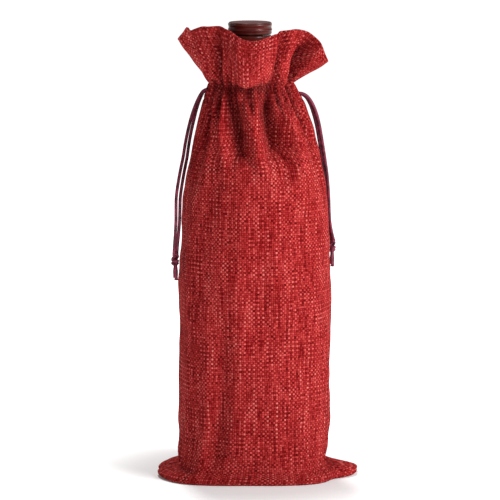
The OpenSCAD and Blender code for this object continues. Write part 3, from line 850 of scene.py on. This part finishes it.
def cloth_rows(side):
    """Rows of points of one cloth in metres, from the bottom seam up to the frill's edge.

    Also gives the painted shade of the cloth at each point.
    """
    angle = side * np.linspace(0, math.pi, COLUMNS)
    rows = []
    hollows = []

    def add(x, y, z, hollow):
        rows.append(np.stack([x, side * np.maximum(SEAM_GAP, np.abs(y)), np.broadcast_to(z, x.shape)], 1))
        hollows.append(hollow)

    values = frill_values(angle)
    # How far the frill billows out at each angle; it sets the painted shadow under its lip.
    billow = np.clip(values[2] / 12, 0, 1)
    x, y, hollow = section(angle, 0)
    for share in np.linspace(0, 1, FLOOR_ROWS + 1)[:-1]:
        add(x * 0.985, y * 0.97 * share, 0.25, hollow)
    for height in wall_heights():
        add(*wall_row(angle, height, billow))
    start = np.hypot(rows[-1][:, 0] - CHANNEL_X / MM, rows[-1][:, 1])
    for share in np.linspace(0, 1, FRILL_ROWS + 1)[1:]:
        add(*frill_row(angle, share, values, start))
        rows[-1][:, 1] -= flop(angle, share)
    return np.array(rows) * MM, np.array(hollows)


def grid_normals(rows, side):
    """Outward unit normals of a grid of points."""
    up = np.gradient(rows, axis=0)
    across = np.gradient(rows, axis=1)
    normals = np.cross(across, up) * side
    return normals / np.maximum(np.linalg.norm(normals, axis=2, keepdims=True), 1e-12)


def with_facing(rows, side):
    """Adds the cloth that turns in over the frill's edge and runs down inside to the channel's foot."""
    normals = grid_normals(rows, side)
    layers = 1.65 * MM
    inner_radius = 19.6
    fold = rows[-1] - normals[-1] * layers / 2 + np.array([0, 0, 0.5 * MM])
    inside = np.array([rows[-k] - normals[-k] * layers for k in range(1, FRILL_ROWS + 1)])
    angle = side * np.linspace(0, math.pi, COLUMNS)
    casing = []
    for share in np.linspace(0, 1, FACING_ROWS):
        r = inner_radius + 0.8 * pleat(angle, PLEATS, PLEAT_SEED) + math.exp(-(share / 0.15) ** 2)
        z = (CHANNEL_TOP + (CHANNEL_BOTTOM - CHANNEL_TOP) * share) / MM - 0.6
        x, y = about_channel(r, angle)
        casing.append(np.stack([x, y, np.full_like(angle, z)], 1) * MM)
    casing = np.array(casing)
    casing[..., 1] = side * np.maximum(SEAM_GAP * MM, np.abs(casing[..., 1]))
    return np.concatenate([rows, fold[None], inside, casing])


def cloth_uvs(rows):
    """Each point's place on the flat cloth in metres: across it from the middle, and up from the seam."""
    steps = np.linalg.norm(np.diff(rows, axis=1), axis=2)
    across = np.concatenate([np.zeros((len(rows), 1)), np.cumsum(steps, axis=1)], axis=1)
    across -= across[:, [COLUMNS // 2]]
    half_width = 75 * MM
    flat = np.linspace(-half_width, half_width, COLUMNS)
    across = 0.7 * across + 0.3 * flat
    climb = np.linalg.norm(np.diff(rows, axis=0), axis=2).mean(axis=1)
    up = np.concatenate([[0], np.cumsum(climb)])
    return [(across[r, c], up[r]) for r in range(len(rows)) for c in range(COLUMNS)]


def make_cloth(name, side, *replaced):
    """One cut piece of cloth: wall, channel, frill, and the facing folded down inside."""
    outside, hollows = cloth_rows(side)
    rows = with_facing(outside, side)
    # The cloth turned in over the edge and down inside gets an even painted shade.
    inside_hollows = np.full((len(rows) - len(outside)) * COLUMNS, 0.3)
    faces = grid_faces(len(rows), COLUMNS, flip=side == FRONT)
    piece = mesh_object(name, rows.reshape(-1, 3).tolist(), faces, cloth_uvs(rows),
                        np.concatenate([hollows.ravel(), inside_hollows]))
    solid = piece.modifiers.new("thickness", "SOLIDIFY")
    solid.thickness = 0.8 * MM
    solid.offset = -1
    finish_piece(piece, "bag", "cloth", cloth_material, *replaced)
    return outside


front_rows = make_cloth("front_cloth", FRONT, "front_panel", "front_channel", "front_frill")
back_rows = make_cloth("back_cloth", BACK, "back_panel", "back_channel", "back_frill")


# ---- seams and stitches ----

SEAM_END = len(front_rows) - FRILL_ROWS - CHANNEL_ROWS - 2     # two rows under the channel


def make_side_seam(name, column, side, node):
    """The allowance of one side seam, standing inward between the two cloths."""
    wide = 5 * MM
    thick = 0.7 * MM
    inset = 0.9 * MM
    vertices, uvs = [], []
    for i, place in enumerate(front_rows[FLOOR_ROWS:SEAM_END, column]):
        outer = place[0] - side * inset
        least = (clear_radius(place[2] / MM) + 0.8) * MM
        inner = side * max(abs(outer) - wide, least)
        for x in (outer, inner):
            for y in (-thick, thick):
                vertices.append((x, y, max(place[2], 0.4 * MM)))
                uvs.append((x + y, i * 2 * MM))
    count = len(vertices) // 4
    faces = []
    for i in range(count - 1):
        for a, b in ((0, 1), (1, 3), (3, 2), (2, 0)):
            faces.append((4 * i + a, 4 * i + b, 4 * i + 4 + b, 4 * i + 4 + a))
    faces += [(0, 2, 3, 1), tuple(4 * count - 4 + k for k in (0, 1, 3, 2))]
    return finish_piece(mesh_object(name, vertices, faces, uvs), "bag", "seam_cloth", shaded_seam_material, node)


def stitches(name, line, spare):
    """Short threads along a line of points, leaving the same small gap after each."""
    lengths = np.concatenate([[0], np.cumsum(np.linalg.norm(np.diff(line, axis=0), axis=1))])
    stitch, gap = 2.3 * MM, 0.8 * MM

    def place(at):
        return Vector([float(np.interp(at, lengths, line[:, axis])) for axis in range(3)])

    def radius(share):
        return 0.24 * MM * (0.4 + 0.6 * math.sin(math.pi * share))

    parts = []
    start = spare
    while start + stitch < lengths[-1] - spare:
        route = [place(start + stitch * k / 4) for k in range(5)]
        parts.append(tube(f"{name}_{len(parts)}", route, radius, 6))
        start += stitch + gap
    return parts


def row_line(rows, side, height):
    """The points of the outer cloth at one height, a hair outside it."""
    row = min(range(FLOOR_ROWS, len(rows) - FRILL_ROWS), key=lambda r: abs(rows[r, 0, 2] - height))
    normals = grid_normals(rows, side)
    return rows[row] + normals[row] * 0.05 * MM


def make_channel_stitching(name, height):
    """One row of stitches all round the channel."""
    parts = stitches(f"{name}_front", row_line(front_rows, FRONT, height), 1.5 * MM)
    parts += stitches(f"{name}_back", row_line(back_rows, BACK, height), 1.5 * MM)
    return finish_piece(joined(name, parts), "bag", "thread", thread_material, name)


def make_side_stitching(name, column, side):
    """The row of stitches that holds one side seam, on the front face of its allowance."""
    start, every = 30, 6
    inset = 2.2 * MM
    line = front_rows[start:SEAM_END:every, column].copy()
    line[:, 0] -= side * inset
    line[:, 1] = -0.75 * MM
    return finish_piece(joined(name, stitches(name, line, 1 * MM)), "bag", "thread", thread_material, name)


make_side_seam("left_seam_allowance", -1, LEFT, "left_side_seam")
make_side_seam("right_seam_allowance", 0, RIGHT, "right_side_seam")
make_side_stitching("left_side_stitching", -1, LEFT)
make_side_stitching("right_side_stitching", 0, RIGHT)
make_channel_stitching("lower_channel_stitching", CHANNEL_BOTTOM)
make_channel_stitching("upper_channel_stitching", CHANNEL_TOP)


# ---- capsule ----

def lathe(name, profile, sides=96):
    """A turned piece from (radius, height) points in metres; UV runs round and along it."""
    vertices, uvs = [], []
    for i, (r, z) in enumerate(profile):
        for k in range(sides):
            a = 2 * math.pi * k / sides
            vertices.append((r * math.cos(a), r * math.sin(a), z))
            uvs.append((r * a, z))
    return mesh_object(name, vertices, grid_faces(len(profile), sides, wrap=True), uvs)


def rounded(corners, radius, steps=4):
    """A profile with each inner corner rounded."""
    points = [corners[0]]
    for a, b, c in zip(corners, corners[1:], corners[2:]):
        a, b, c = (np.array(p, float) for p in (a, b, c))
        back, on = a - b, c - b
        r = min(radius, 0.45 * np.linalg.norm(back), 0.45 * np.linalg.norm(on))
        p, q = b + back / np.linalg.norm(back) * r, b + on / np.linalg.norm(on) * r
        for k in range(steps + 1):
            s = k / steps
            points.append(tuple((1 - s) ** 2 * p + 2 * s * (1 - s) * b + s ** 2 * q))
    return [*points, corners[-1]]


def make_capsule():
    """The foil's skirt, shrunk in under the lip, and the disc pressed on top."""
    foil = 0.3 * MM
    r = capsule_high.x
    neck = r - 0.45 * MM
    low, high = capsule_low.z, capsule_high.z
    step = high - 7.3 * MM
    bead = high - 4.7 * MM
    outside = [(neck + 0.15 * MM, low), (neck, low + 8 * MM), (neck, step - 1.6 * MM),
               (neck - 0.55 * MM, step - 0.9 * MM), (neck - 0.5 * MM, step - 0.3 * MM),
               (r - 0.1 * MM, step), (r - 0.25 * MM, bead - 0.9 * MM), (r + 0.1 * MM, bead - 0.4 * MM),
               (r + 0.1 * MM, bead + 0.3 * MM), (r - 0.3 * MM, bead + 0.8 * MM),
               (r - 0.3 * MM, high - 2.4 * MM), (r, high - 1.7 * MM), (r - 0.05 * MM, high - 0.6 * MM),
               (r - 0.8 * MM, high)]
    inside = [(x - foil, z) for x, z in reversed(outside)]
    skirt = lathe("capsule_skirt_foil", [*rounded(outside, 0.4 * MM), *inside, outside[0]])
    finish_piece(skirt, "bottle", "capsule", foil_material, "capsule_skirt")
    top = high + foil
    disc = rounded([(r - 0.75 * MM, high - 0.1 * MM), (r - 0.85 * MM, top), (r - 2.2 * MM, top),
                    (r - 2.7 * MM, top - 0.2 * MM), (4 * MM, top - 0.2 * MM), (3.6 * MM, top - 0.05 * MM),
                    (0.05 * MM, top - 0.05 * MM)], 0.25 * MM)
    cap = lathe("capsule_top_disc", disc)
    finish_piece(cap, "bottle", "capsule", foil_material, "capsule_top")


make_capsule()


# ---- CAD nodes that show as they are ----

def repaint(node, material):
    """Gives a CAD node a better material."""
    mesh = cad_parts[node].data
    mesh.materials.clear()
    mesh.materials.append(material)


repaint("bottle_glass", bottle_glass("glass"))
repaint("wine", red_wine("wine"))
repaint("cork", natural_cork("cork"))
repaint("bottom_seam", shaded_seam_material)
repaint("bottom_stitching", thread_material)
for loop in ("left_drawstring_loop", "right_drawstring_loop"):
    repaint(loop, cord_material)


# ---- floor and light ----

def make_floor():
    """A pale floor that fills the picture. Further off it glows more, so that it stays even."""
    half = 15
    floor = mesh_object("floor", [(-half, -half, 0), (half, -half, 0), (half, half, 0), (-half, half, 0)],
                        [(0, 1, 2, 3)])
    s = Shader("floor")
    away = s.nodes.new("ShaderNodeVectorMath")
    away.operation = "LENGTH"
    s.put(away.inputs[0], s.place())
    glow = s.nodes.new("ShaderNodeMapRange")
    glow.interpolation_type = "SMOOTHSTEP"
    s.put(glow.inputs["Value"], away.outputs["Value"])
    for socket, value in (("From Min", 0.06), ("From Max", 0.17), ("To Min", 0.06), ("To Max", 0.85)):
        glow.inputs[socket].default_value = value
    floor.data.materials.append(s.set(Base_Color=(0.9, 0.9, 0.9, 1), Roughness=0.9, Specular_IOR_Level=0.0,
                                      Emission_Color=(1, 1, 1, 1), Emission_Strength=glow.outputs[0]))


def make_world(strength):
    """Plain white light from all round."""
    world = bpy.data.worlds.new("studio")
    world.use_nodes = True
    world.node_tree.nodes["Background"].inputs[0].default_value = (1, 1, 1, 1)
    world.node_tree.nodes["Background"].inputs[1].default_value = strength
    bpy.context.scene.world = world


def make_light(name, place, size, watts):
    """A round soft light aimed at the middle of the bag."""
    light = bpy.data.objects.new(name, bpy.data.lights.new(name, "AREA"))
    light.data.shape = "DISK"
    light.data.size = size
    light.data.energy = watts
    light.location = place
    aim = Vector((0, 0, 0.15)) - Vector(place)
    light.rotation_mode = "QUATERNION"
    light.rotation_quaternion = aim.to_track_quat("-Z", "Y")
    bpy.context.collection.objects.link(light)


make_floor()
make_world(0.22)
make_light("key", (1.35, -0.9, 0.9), 0.9, 35)
make_light("overhead", (-0.15, 0.65, 1.5), 0.3, 15)
bpy.context.scene.view_settings.view_transform = "Standard"
